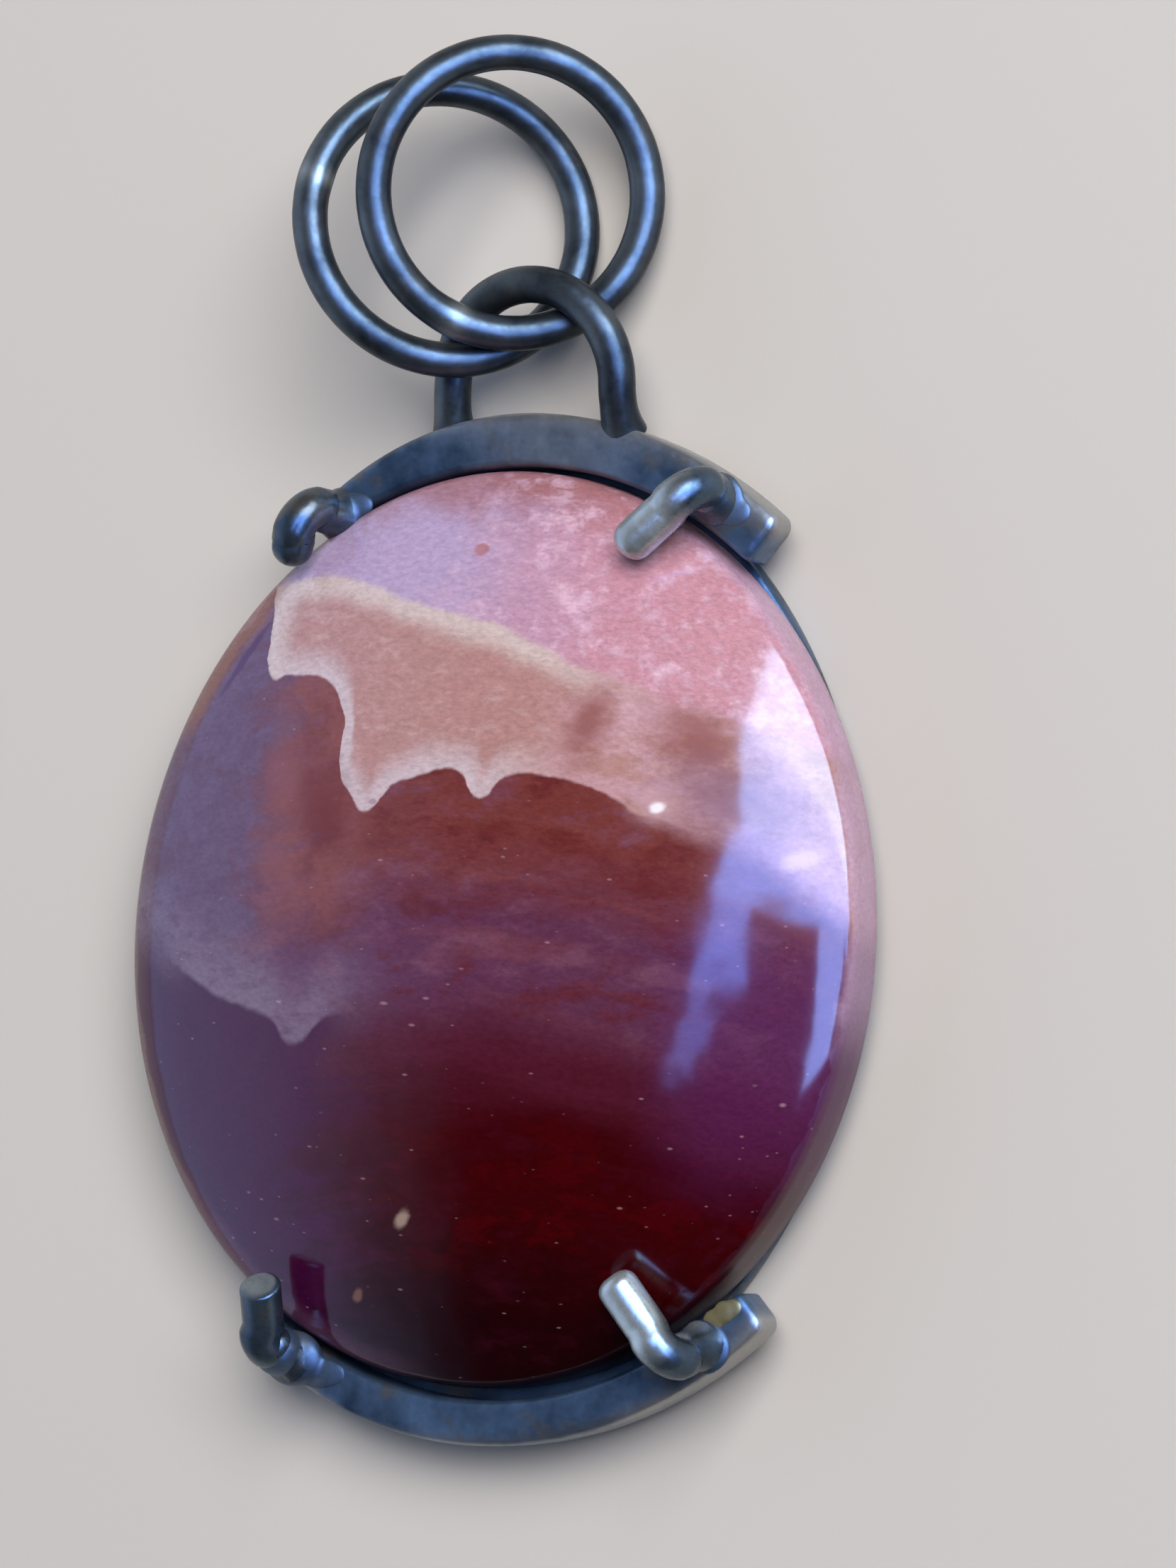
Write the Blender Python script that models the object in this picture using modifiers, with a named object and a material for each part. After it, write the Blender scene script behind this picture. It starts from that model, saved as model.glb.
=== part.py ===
"""Mookaite pendant lying on its back: an oval cabochon in an open-back prong setting.

Lengths are in millimetres, measured from a point near the stone's middle: +X to the right,
+Y towards the bail, and z = 0 on the surface that the pendant lies on. One empty shifts
everything, so that the part's origin is the middle of its box on that surface.
"""
import math

import bmesh
import bpy
from mathutils import Vector

MM = 0.001
WELD = 0.000001

# Gap between pieces that touch or are soldered together
SEAT_GAP = 0.06

# Stone: a low dome on a narrow shoulder and a short upright wall, slightly narrower at the top
STONE_CENTRE = (-0.1, -0.15)
STONE_HALF_WIDTH = 13.3
STONE_HALF_LENGTH = 15.25
STONE_TAPER = 0.025
STONE_WALL_HEIGHT = 1.45
STONE_WALL_INSET = 0.05
SHOULDER_HEIGHT = 0.35
SHOULDER_WIDTH = 0.12
STONE_BASE_CHAMFER = 0.15
DOME_RISE = 3.65
DOME_POWER = 0.8
DOME_RINGS = 10
STONE_SEGMENTS = 64

# Back ring: a flattened wire bent to an oval under the stone's edge and under both bars
BACK_RING_CENTRE = (0.2, -0.4)
BACK_RING_HALF_WIDTH = 12.35
BACK_RING_HALF_LENGTH = 16.35
BACK_RING_POWER = 1.93
BACK_RING_WIRE = 1.8
BACK_RING_HEIGHT = 1.0
BACK_RING_EDGE = 0.25
BACK_RING_SEGMENTS = 64

# Bars: flat crescents across the stone's ends, thinner towards their left ends; each bar's
# inner edge is an ellipse, followed between two angles from +X
BAR_HEIGHT = 1.74
BAR_CENTRE_X = 0.2
BAR_EDGE = 0.2
BAR_STEPS = 26
TOP_BAR_INNER = (13.5, 15.22)
TOP_BAR_ANGLES = (54.0, 124.0)
TOP_BAR_WIDTH = 1.8
TOP_BAR_END_WIDTH = 1.0
BOTTOM_BAR_INNER = (14.0, 15.75)
BOTTOM_BAR_ANGLES = (-45.5, -122.0)
BOTTOM_BAR_WIDTH = 1.5
BOTTOM_BAR_END_WIDTH = 1.2

# Prongs: round wire that stands on a bar and is bent over the stone's edge.
# Each has its foot (x, y), its bend (x, y, z), its tip (x, y) and the tip's lift off the stone
PRONG_RADIUS = 0.7
PRONG_BEND_RADIUS = 0.85
PRONG_BEND_STEPS = 5
PRONG_EDGE = 0.16
PRONG_SLOPE_ROOM = 0.13
PRONGS = {
    "prong_top_left": ((-7.0, 13.3), (-7.5, 13.3, 4.35), (-8.05, 11.4), 0.0),
    "prong_top_right": ((6.85, 14.4), (6.8, 14.65, 4.5), (4.55, 12.4), 0.0),
    "prong_bottom_left": ((-5.85, -15.0), (-6.4, -14.5, 3.9), (-6.2, -12.4), 0.6),
    "prong_bottom_right": ((8.9, -13.2), (8.5, -13.6, 4.5), (6.4, -11.1), 0.0),
}

# Bail loop: a U of round wire soldered to the top bar, with its arch raised off the table
LOOP_RADIUS = 0.625
LOOP_ARCH_RADIUS = 3.15
LOOP_LEG = 1.45
LOOP_LEFT_START = 0.08
LOOP_LEFT_SPLAY = 0.25
LOOP_RIGHT_START = 0.28
LOOP_FOOT = (-0.1, 16.7, 2.4)
LOOP_PITCH = 12.0
LOOP_ROLL = 5.0
LOOP_STEPS = 18

# Jump rings: round wire, side by side through the bail loop, leaning on the table
RING_RADIUS = 4.65
RING_WIRE_RADIUS = 0.6
RING_SEGMENTS = 44
RING_SIDES = 12
UPPER_RING_CENTRE = (-0.905, 24.127, 4.053)
UPPER_RING_NORMAL = (0.79, -0.052, 1.0)
LOWER_RING_CENTRE = (-3.433, 23.107, 3.548)
LOWER_RING_NORMAL = (0.776, 0.181, 1.0)

# Line about which both jump rings swing up in the bail loop
RING_HINGE_POINT = (-0.79, 21.963, 4.24)

WIRE_BEVEL_RESOLUTION = 4
SMOOTH_ANGLE = 35.0

# Levels that follow from the sizes above
STONE_BASE_Z = BACK_RING_HEIGHT + SEAT_GAP
WALL_TOP_Z = STONE_BASE_Z + STONE_WALL_HEIGHT
DOME_EDGE_Z = WALL_TOP_Z + SHOULDER_HEIGHT
DOME_EDGE = STONE_HALF_LENGTH - STONE_WALL_INSET - SHOULDER_WIDTH
BAR_BASE_Z = BACK_RING_HEIGHT + SEAT_GAP
BAR_TOP_Z = BAR_BASE_Z + BAR_HEIGHT


def in_metres(point):
    return Vector(point) * MM


def ring_reach(normal):
    """How far a tilted jump ring reaches from its centre along Y."""
    lean = Vector(normal).normalized().y
    return RING_RADIUS * math.sqrt(1.0 - lean * lean) + RING_WIRE_RADIUS


def make_material(name, colour, roughness, metallic):
    material = bpy.data.materials.new(name)
    material.use_nodes = True
    shader = material.node_tree.nodes["Principled BSDF"]
    shader.inputs["Base Color"].default_value = (*colour, 1.0)
    shader.inputs["Roughness"].default_value = roughness
    shader.inputs["Metallic"].default_value = metallic
    material.diffuse_color = (*colour, 1.0)
    return material


def add_object(name, data, material, parent, location=(0.0, 0.0, 0.0)):
    piece = bpy.data.objects.new(name, data)
    parts.objects.link(piece)
    piece.parent = parent
    piece.location = in_metres(location)
    data.materials.append(material)
    return piece


def as_mesh(source):
    """A welded mesh of an object as its modifiers or its curve make it; the object goes."""
    bpy.context.view_layer.update()
    evaluated = source.evaluated_get(bpy.context.evaluated_depsgraph_get())
    mesh = bpy.data.meshes.new_from_object(evaluated)
    mesh.name = source.name
    bpy.data.objects.remove(source)
    work = bmesh.new()
    work.from_mesh(mesh)
    bmesh.ops.remove_doubles(work, verts=work.verts, dist=WELD)
    work.to_mesh(mesh)
    work.free()
    mesh.materials.clear()
    return mesh


def smooth(piece):
    piece.data.shade_smooth()
    piece.data.set_sharp_from_angle(angle=math.radians(SMOOTH_ANGLE))


def round_edges(piece, width, segments, angle):
    bevel = piece.modifiers.new("Rounded edges", "BEVEL")
    bevel.width = width * MM
    bevel.segments = segments
    bevel.limit_method = "ANGLE"
    bevel.angle_limit = math.radians(angle)


def flat_mesh(name, outlines, height):
    """A flat plate of one outer outline and any inner ones, centred on z = 0."""
    curve = bpy.data.curves.new(name, "CURVE")
    curve.dimensions = "2D"
    curve.fill_mode = "BOTH"
    curve.extrude = height * MM / 2.0
    for outline in outlines:
        spline = curve.splines.new("POLY")
        spline.points.add(len(outline) - 1)
        for point, (x, y) in zip(spline.points, outline):
            point.co = (x * MM, y * MM, 0.0, 1.0)
        spline.use_cyclic_u = True
    outline_object = bpy.data.objects.new(name + "_outline", curve)
    parts.objects.link(outline_object)
    return as_mesh(outline_object)


def wire_mesh(name, path, radius):
    """A round wire with closed ends along a path of points."""
    curve = bpy.data.curves.new(name, "CURVE")
    curve.dimensions = "3D"
    curve.bevel_depth = radius * MM
    curve.bevel_resolution = WIRE_BEVEL_RESOLUTION
    curve.use_fill_caps = True
    spline = curve.splines.new("POLY")
    spline.points.add(len(path) - 1)
    for point, place in zip(spline.points, path):
        point.co = (*in_metres(place), 1.0)
    wire_object = bpy.data.objects.new(name + "_wire", curve)
    parts.objects.link(wire_object)
    return as_mesh(wire_object)


def dome_height(x, y):
    """Height of the stone's polished top above the table."""
    across = x - STONE_CENTRE[0]
    along = y - STONE_CENTRE[1]
    edge_x = DOME_EDGE * STONE_HALF_WIDTH / STONE_HALF_LENGTH
    edge_x *= 1.0 - STONE_TAPER * along / STONE_HALF_LENGTH
    share = (across / edge_x) ** 2 + (along / DOME_EDGE) ** 2
    return DOME_EDGE_Z + DOME_RISE * max(0.0, 1.0 - share) ** DOME_POWER


def add_stone(parent, material):
    """A turned half section, made oval and then tapered towards the bail."""
    section = []
    for ring in range(DOME_RINGS + 1):
        reach = math.sin(math.radians(90.0 * ring / DOME_RINGS))
        rise = DOME_RISE * max(0.0, 1.0 - reach * reach) ** DOME_POWER
        section.append((DOME_EDGE * reach, DOME_EDGE_Z + rise))
    section.append((STONE_HALF_LENGTH - STONE_WALL_INSET, WALL_TOP_Z))
    section.append((STONE_HALF_LENGTH, STONE_BASE_Z + STONE_BASE_CHAMFER))
    section.append((STONE_HALF_LENGTH - STONE_BASE_CHAMFER, STONE_BASE_Z))
    section.append((0.0, STONE_BASE_Z))

    profile = bpy.data.meshes.new("stone_section")
    edges = [(index, index + 1) for index in range(len(section) - 1)]
    profile.from_pydata([(x * MM, 0.0, z * MM) for x, z in section], edges, [])
    turned = bpy.data.objects.new("stone", profile)
    parts.objects.link(turned)
    screw = turned.modifiers.new("Turned", "SCREW")
    screw.steps = STONE_SEGMENTS
    screw.render_steps = STONE_SEGMENTS
    screw.use_merge_vertices = True
    screw.merge_threshold = WELD
    mesh = as_mesh(turned)

    oval = STONE_HALF_WIDTH / STONE_HALF_LENGTH
    for vertex in mesh.vertices:
        vertex.co.x *= oval * (1.0 - STONE_TAPER * vertex.co.y / (STONE_HALF_LENGTH * MM))
    stone = add_object("stone", mesh, material, parent, (*STONE_CENTRE, 0.0))
    smooth(stone)


def oval_outline(half_width, half_length, segments):
    """An ellipse, or with a power just below 2 an oval whose ends are a little narrower."""
    outline = []
    for segment in range(segments):
        turn = math.radians(360.0 * segment / segments)
        x = abs(math.cos(turn)) ** (2.0 / BACK_RING_POWER)
        y = abs(math.sin(turn)) ** (2.0 / BACK_RING_POWER)
        outline.append((half_width * math.copysign(x, math.cos(turn)),
                        half_length * math.copysign(y, math.sin(turn))))
    return outline


def add_back_ring(parent, material):
    outer = oval_outline(BACK_RING_HALF_WIDTH, BACK_RING_HALF_LENGTH, BACK_RING_SEGMENTS)
    inner = oval_outline(BACK_RING_HALF_WIDTH - BACK_RING_WIRE,
                         BACK_RING_HALF_LENGTH - BACK_RING_WIRE, BACK_RING_SEGMENTS)
    mesh = flat_mesh("back_ring", [outer, inner], BACK_RING_HEIGHT)
    place = (*BACK_RING_CENTRE, BACK_RING_HEIGHT / 2.0)
    ring = add_object("back_ring", mesh, material, parent, place)
    round_edges(ring, BACK_RING_EDGE, 1, 60.0)
    smooth(ring)


def add_bar(name, inner, angles, width, end_width, parent, material):
    """A crescent plate whose width falls from its middle to its left end."""
    middle = 90.0 if angles[1] > 0.0 else -90.0
    inner_edge = []
    outer_edge = []
    for step in range(BAR_STEPS + 1):
        angle = angles[0] + (angles[1] - angles[0]) * step / BAR_STEPS
        past_middle = max(0.0, (angle - middle) / (angles[1] - middle))
        reach = width - (width - end_width) * past_middle * past_middle
        turn = math.radians(angle)
        inner_edge.append((inner[0] * math.cos(turn), inner[1] * math.sin(turn)))
        outer_edge.append(((inner[0] + reach) * math.cos(turn),
                           (inner[1] + reach) * math.sin(turn)))
    mesh = flat_mesh(name, [inner_edge + outer_edge[::-1]], BAR_HEIGHT)
    place = (BAR_CENTRE_X, 0.0, BAR_BASE_Z + BAR_HEIGHT / 2.0)
    bar = add_object(name, mesh, material, parent, place)
    round_edges(bar, BAR_EDGE, 2, 50.0)
    smooth(bar)


def bent_path(start, corner, end, radius, steps):
    """Points along a wire from start to end, its one corner bent to an arc of that radius."""
    back = (start - corner).normalized()
    onward = (end - corner).normalized()
    half_open = back.angle(onward) / 2.0
    centre = corner + (back + onward).normalized() * (radius / math.sin(half_open))
    reach = radius / math.tan(half_open)
    first = corner + back * reach - centre
    last = corner + onward * reach - centre
    path = [start]
    for step in range(steps + 1):
        path.append(centre + first.slerp(last, step / steps))
    path.append(end)
    return path


def file_foot_flat(mesh, foot, lean):
    """Slide the wire's first end along its own direction onto the level of its foot."""
    for vertex in mesh.vertices:
        if (vertex.co - foot).length < PRONG_RADIUS * MM * 1.01:
            vertex.co += lean * ((foot.z - vertex.co.z) / lean.z)


def add_prong(name, foot, bend, tip, lift, parent, material):
    """A claw that stands on a bar, its tip held just clear of the dome by its own radius."""
    tip_z = dome_height(*tip) + PRONG_RADIUS + PRONG_SLOPE_ROOM + SEAT_GAP + lift
    start = Vector((*foot, BAR_TOP_Z + SEAT_GAP))
    corner = Vector(bend)
    end = Vector((*tip, tip_z))
    path = bent_path(start, corner, end, PRONG_BEND_RADIUS, PRONG_BEND_STEPS)
    mesh = wire_mesh(name, path, PRONG_RADIUS)
    file_foot_flat(mesh, in_metres(start), (corner - start).normalized())
    prong = add_object(name, mesh, material, parent)
    round_edges(prong, PRONG_EDGE, 2, 60.0)
    smooth(prong)


def add_bail_loop(parent, material):
    pitch = math.radians(LOOP_PITCH)
    roll = math.radians(LOOP_ROLL)
    along = Vector((0.0, math.cos(pitch), math.sin(pitch)))
    lifted = Vector((0.0, -math.sin(pitch), math.cos(pitch)))
    across = Vector((math.cos(roll), 0.0, 0.0)) + lifted * math.sin(roll)
    foot = Vector(LOOP_FOOT)

    left_reach = LOOP_ARCH_RADIUS + LOOP_LEFT_SPLAY
    path = [foot - across * left_reach + along * LOOP_LEFT_START]
    for step in range(LOOP_STEPS + 1):
        turn = math.pi * step / LOOP_STEPS
        reach = LOOP_LEG + LOOP_ARCH_RADIUS * math.sin(turn)
        path.append(foot - across * (LOOP_ARCH_RADIUS * math.cos(turn)) + along * reach)
    path.append(foot + across * LOOP_ARCH_RADIUS + along * LOOP_RIGHT_START)
    loop = add_object("bail_loop", wire_mesh("bail_loop", path, LOOP_RADIUS), material, parent)
    smooth(loop)


def add_jump_ring(name, centre, normal, parent, material):
    bpy.ops.mesh.primitive_torus_add(major_segments=RING_SEGMENTS, minor_segments=RING_SIDES,
                                     major_radius=RING_RADIUS * MM,
                                     minor_radius=RING_WIRE_RADIUS * MM)
    ring = bpy.context.object
    ring.name = name
    ring.data.name = name
    for collection in list(ring.users_collection):
        collection.objects.unlink(ring)
    parts.objects.link(ring)
    ring.parent = parent
    ring.location = in_metres(centre) - in_metres(RING_HINGE_POINT)
    ring.rotation_mode = "QUATERNION"
    ring.rotation_quaternion = Vector((0.0, 0.0, 1.0)).rotation_difference(Vector(normal))
    ring.data.materials.append(material)
    smooth(ring)


for old in list(bpy.data.objects):
    bpy.data.objects.remove(old)
parts = bpy.data.collections.new("mookaite_pendant")
bpy.context.scene.collection.children.link(parts)

# The box runs from the bottom bar's outer edge to the upper jump ring's far side
box_low = -(BOTTOM_BAR_INNER[1] + BOTTOM_BAR_WIDTH)
box_high = UPPER_RING_CENTRE[1] + ring_reach(UPPER_RING_NORMAL)
pendant = bpy.data.objects.new("pendant_frame", None)
pendant.location = in_metres((0.0, -(box_low + box_high) / 2.0, 0.0))
parts.objects.link(pendant)
ring_hinge = bpy.data.objects.new("ring_hinge", None)
ring_hinge.parent = pendant
ring_hinge.location = in_metres(RING_HINGE_POINT)
parts.objects.link(ring_hinge)

polished_stone = make_material("polished_mookaite", (0.26, 0.07, 0.08), 0.08, 0.0)
blackened_silver = make_material("blackened_silver", (0.11, 0.14, 0.19), 0.38, 1.0)
worn_silver = make_material("worn_silver", (0.42, 0.44, 0.45), 0.3, 1.0)

add_stone(pendant, polished_stone)
add_back_ring(pendant, blackened_silver)
add_bar("top_bar", TOP_BAR_INNER, TOP_BAR_ANGLES, TOP_BAR_WIDTH, TOP_BAR_END_WIDTH,
        pendant, blackened_silver)
add_bar("bottom_bar", BOTTOM_BAR_INNER, BOTTOM_BAR_ANGLES, BOTTOM_BAR_WIDTH,
        BOTTOM_BAR_END_WIDTH, pendant, blackened_silver)
for prong_name, (prong_foot, prong_bend, prong_tip, prong_lift) in PRONGS.items():
    add_prong(prong_name, prong_foot, prong_bend, prong_tip, prong_lift, pendant, worn_silver)
add_bail_loop(pendant, blackened_silver)
add_jump_ring("jump_ring_upper", UPPER_RING_CENTRE, UPPER_RING_NORMAL, ring_hinge,
              blackened_silver)
add_jump_ring("jump_ring_lower", LOWER_RING_CENTRE, LOWER_RING_NORMAL, ring_hinge,
              blackened_silver)
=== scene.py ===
"""Mookaite pendant: an oval cabochon in an open-back prong setting of blackened silver.

The sizes are in millimetres from a point near the stone's middle, as a bench jeweller would
measure them: +X to the right, +Y towards the bail, and z = 0 on the table.
"""

import math

import bpy
from mathutils import Matrix, Vector, noise


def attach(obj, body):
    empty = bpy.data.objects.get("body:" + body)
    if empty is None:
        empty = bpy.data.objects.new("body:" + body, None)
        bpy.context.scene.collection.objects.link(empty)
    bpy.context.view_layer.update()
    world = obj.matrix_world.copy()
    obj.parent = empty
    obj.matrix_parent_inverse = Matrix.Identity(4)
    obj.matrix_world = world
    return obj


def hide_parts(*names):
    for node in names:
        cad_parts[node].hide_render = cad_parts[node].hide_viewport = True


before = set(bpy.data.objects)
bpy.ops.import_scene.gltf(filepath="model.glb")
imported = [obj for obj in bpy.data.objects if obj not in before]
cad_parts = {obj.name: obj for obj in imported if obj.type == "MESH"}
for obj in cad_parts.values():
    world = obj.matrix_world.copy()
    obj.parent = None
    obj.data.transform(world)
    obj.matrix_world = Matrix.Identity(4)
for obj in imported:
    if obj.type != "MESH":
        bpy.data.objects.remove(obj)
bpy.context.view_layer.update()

# Camera: a hand-held close-up from the right of the pendant, 25 degrees off straight down,
# framed so that the long side of the picture runs along the pendant.
CAMERA_PLACE = (0.09141, -0.00979, 0.19219)
CAMERA_BACK = (0.466, -0.045, 1.0)
CAMERA_ROLL = 4.89
CAMERA_LENS = 145.88

camera_data = bpy.data.cameras.new("close_up")
camera_data.lens = CAMERA_LENS
camera_data.clip_start = 0.01
camera = bpy.data.objects.new("close_up", camera_data)
bpy.context.scene.collection.objects.link(camera)
back = Vector(CAMERA_BACK).normalized()
right = Vector((0.0, 1.0, 0.0)).cross(back).normalized()
upright = Matrix((right, back.cross(right), back)).transposed().to_4x4()
camera.matrix_world = (Matrix.Translation(CAMERA_PLACE) @ upright
                       @ Matrix.Rotation(math.radians(CAMERA_ROLL), 4, "Z"))
bpy.context.scene.camera = camera
bpy.context.scene.view_settings.view_transform = "Standard"

# Table: a plain pale matt board under the pendant.
TABLE_SIZE = 3.0
TABLE_COLOUR = "#c9c2b5"


def to_linear(colour):
    """An sRGB hex colour as linear red, green, blue and alpha."""
    channels = [int(colour[place:place + 2], 16) / 255.0 for place in (1, 3, 5)]
    return (*[c / 12.92 if c <= 0.04045 else ((c + 0.055) / 1.055) ** 2.4 for c in channels], 1.0)


def new_material(name, finish):
    """A material whose Principled shader has these constants on its own sockets."""
    material = bpy.data.materials.new(name)
    material.use_nodes = True
    shader = material.node_tree.nodes["Principled BSDF"]
    for socket, value in finish.items():
        shader.inputs[socket].default_value = value
    return material, shader


def add_node(material, kind, inputs, **settings):
    """One node: settings are its own properties, inputs its sockets, each a value or a source."""
    node = material.node_tree.nodes.new("ShaderNode" + kind)
    for name, value in settings.items():
        setattr(node, name, value)
    for socket, value in inputs.items():
        if isinstance(value, bpy.types.Node):
            value = value.outputs[0]
        if isinstance(value, bpy.types.NodeSocket):
            material.node_tree.links.new(value, node.inputs[socket])
        else:
            node.inputs[socket].default_value = value
    return node


board_paint = new_material("matt_board_paint", {
    "Base Color": to_linear(TABLE_COLOUR), "Roughness": 0.75})[0]
bpy.ops.object.select_all(action="DESELECT")
bpy.ops.mesh.primitive_plane_add(size=TABLE_SIZE, location=(0.0, 0.0, 0.0))
table = bpy.context.object
table.name = "table"
table.data.materials.append(board_paint)

# Light: an overcast window. One broad panel lights the pendant, glowing cards that only gloss
# sees give the stone its window reflection at the right, and a blue-grey room its sheen at
# the left. The cards' corners run lower left, lower right, upper left, upper right.
ROOM_COLOUR = "#a6bce8"
ROOM_STRENGTH = 1.5
ROOM_DARK = 0.04
ROOM_DARK_FROM = -0.3
ROOM_LIT_FROM = -0.95
KEY_LIGHT = ((0.25, 0.25, 0.55), 0.5, 0.5, "#fbfaff", 7.6)
WINDOW_HEIGHT = 0.3
WINDOW_CARDS = {
    "window_upper": (((0.128, 0.176), (0.85, 0.176), (0.38, 0.55), (0.85, 0.55)),
                     "#b9d6ff", 15.5),
    "window_middle": (((0.109, 0.085), (0.85, 0.085), (0.128, 0.176), (0.85, 0.176)),
                      "#86b4ff", 13.5),
    "window_lower": (((0.088, 0.034), (0.7, 0.034), (0.109, 0.085), (0.7, 0.085)),
                     "#6f9fff", 16.0),
    "window_left": (((0.074, -0.02), (0.128, -0.02), (0.088, 0.034), (0.135, 0.034)),
                    "#6a95ff", 12.0),
    "window_sliver": (((0.062, -0.085), (0.078, -0.085), (0.074, -0.02), (0.094, -0.02)),
                      "#6a95ff", 7.0),
    "window_right": (((0.285, -0.13), (0.52, -0.13), (0.265, 0.034), (0.5, 0.034)),
                     "#86a8ff", 14.0),
}

world = bpy.data.worlds.new("grey_room")
world.use_nodes = True
bpy.context.scene.world = world
room = world.node_tree.nodes["Background"]
towards = add_node(world, "TexCoord", {}).outputs["Generated"]
towards = add_node(world, "SeparateXYZ", {0: towards})
room_light = add_node(world, "MapRange", {
    "Value": towards.outputs[0], "From Min": ROOM_DARK_FROM, "From Max": ROOM_LIT_FROM,
    "To Min": ROOM_DARK, "To Max": ROOM_STRENGTH}, interpolation_type="SMOOTHSTEP")
room.inputs["Color"].default_value = to_linear(ROOM_COLOUR)
world.node_tree.links.new(room_light.outputs[0], room.inputs["Strength"])

key_place, key_width, key_height, key_colour, key_radiance = KEY_LIGHT
key_data = bpy.data.lights.new("key_light", "AREA")
key_data.shape = "RECTANGLE"
key_data.size = key_width
key_data.size_y = key_height
key_data.color = to_linear(key_colour)[:3]
key_data.energy = key_radiance * key_width * key_height * math.pi
key = bpy.data.objects.new("key_light", key_data)
bpy.context.scene.collection.objects.link(key)
key.location = key_place
key.rotation_euler = (-Vector(key_place)).to_track_quat("-Z", "Y").to_euler()
key.visible_camera = False
key.visible_glossy = False

for name, (corners, colour, radiance) in WINDOW_CARDS.items():
    bpy.ops.object.select_all(action="DESELECT")
    bpy.ops.mesh.primitive_plane_add(size=1.0, location=(0.0, 0.0, 0.0))
    card = bpy.context.object
    card.name = name
    for vertex, (x, y) in zip(card.data.vertices, corners):
        vertex.co = (x, y, WINDOW_HEIGHT)
    glow = new_material(name + "_glow", {
        "Base Color": (0.0, 0.0, 0.0, 1.0), "Specular IOR Level": 0.0,
        "Emission Color": to_linear(colour), "Emission Strength": radiance})[0]
    card.data.materials.append(glow)
    card.visible_camera = False
    card.visible_diffuse = False
    card.visible_shadow = False

# Stone: an oval mookaite cabochon, cut as a low dome over a narrow shoulder and an upright
# wall, and polished. It sits on the back ring and the four prongs hold it down.
# SHIFT_Y takes places measured near the stone's middle into the part's own frame.
SHIFT_Y = -6.0615
STONE_CENTRE = (-0.1, -0.15)
STONE_HALF_WIDTH = 13.3
STONE_HALF_LENGTH = 15.25
STONE_TAPER = 0.025
STONE_BASE_Z = 1.06
STONE_DOME_EDGE_Z = 2.86
STONE_DOME_EDGE = 15.08
STONE_DOME_RISE = 3.65
STONE_DOME_POWER = 0.8
STONE_DOME_RINGS = 30
STONE_SEGMENTS = 256
STONE_SHOULDER = [(15.14, 2.76), (15.18, 2.64), (15.2, 2.51), (15.24, 1.8),
                  (15.25, 1.21), (15.22, 1.13), (15.1, STONE_BASE_Z), (0.0, STONE_BASE_Z)]


def to_row(point):
    """A place in millimetres near the stone's middle as one in the part's own frame."""
    x, y, z = point
    return Vector((x, y + SHIFT_Y, z)) * 0.001


def apply_place(piece):
    """The piece's place goes into its mesh, so that its object sits at the origin."""
    bpy.ops.object.select_all(action="DESELECT")
    piece.select_set(True)
    bpy.context.view_layer.objects.active = piece
    bpy.ops.object.transform_apply(location=True, rotation=True, scale=True)


def add_turned(name, section, centre, segments):
    """A solid turned about the vertical from its section, drawn from the axis to the axis."""
    bpy.ops.object.select_all(action="DESELECT")
    bpy.ops.mesh.primitive_plane_add(size=0.001, location=centre)
    piece = bpy.context.object
    piece.name = name
    bpy.ops.object.mode_set(mode="EDIT")
    bpy.ops.mesh.merge(type="CENTER")
    start = Vector((section[0][0], 0.0, section[0][1])) * 0.001
    bpy.ops.transform.translate(value=start)
    for (x, z), (next_x, next_z) in zip(section, section[1:]):
        step = Vector((next_x - x, 0.0, next_z - z)) * 0.001
        bpy.ops.mesh.extrude_vertices_move(TRANSFORM_OT_translate={"value": step})
    bpy.ops.mesh.select_all(action="SELECT")
    bpy.ops.mesh.spin(steps=segments, angle=math.tau, center=centre, axis=(0.0, 0.0, 1.0))
    bpy.ops.mesh.select_all(action="SELECT")
    bpy.ops.mesh.remove_doubles(threshold=0.000002)
    bpy.ops.mesh.normals_make_consistent(inside=False)
    bpy.ops.object.mode_set(mode="OBJECT")
    return piece


def smooth(piece, degrees):
    """Smooth shading with sharp edges above an angle."""
    bpy.ops.object.select_all(action="DESELECT")
    piece.select_set(True)
    bpy.context.view_layer.objects.active = piece
    bpy.ops.object.shade_smooth_by_angle(angle=math.radians(degrees))


stone_section = [(0.0, STONE_DOME_EDGE_Z + STONE_DOME_RISE)]
for ring in range(1, STONE_DOME_RINGS + 1):
    reach = math.sin(math.radians(90.0 * ring / STONE_DOME_RINGS))
    rise = STONE_DOME_RISE * max(0.0, 1.0 - reach * reach) ** STONE_DOME_POWER
    stone_section.append((STONE_DOME_EDGE * reach, STONE_DOME_EDGE_Z + rise))
stone_section += STONE_SHOULDER
stone = add_turned("mookaite_cabochon", stone_section,
                   to_row((*STONE_CENTRE, 0.0)), STONE_SEGMENTS)
stone_oval = STONE_HALF_WIDTH / STONE_HALF_LENGTH
for vertex in stone.data.vertices:
    vertex.co.x *= stone_oval * (1.0 - STONE_TAPER * vertex.co.y / (STONE_HALF_LENGTH * 0.001))
apply_place(stone)
smooth(stone, 40.0)

# Mookaite is a jasper: an opaque fine silica, here in lilac, salmon, cream, tan, red-brown
# and a maroon that is almost black. The polish is glassy. The colours meet along fronts that
# iron crept through the rock in: sharp and scalloped ones with a pale rim, and soft ones.
DOME_ROUGHNESS = 0.11
WALL_ROUGHNESS_GAIN = 0.24
JASPER_IOR = 1.54
BEDDING_TURN = math.radians(-32.0)

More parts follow.
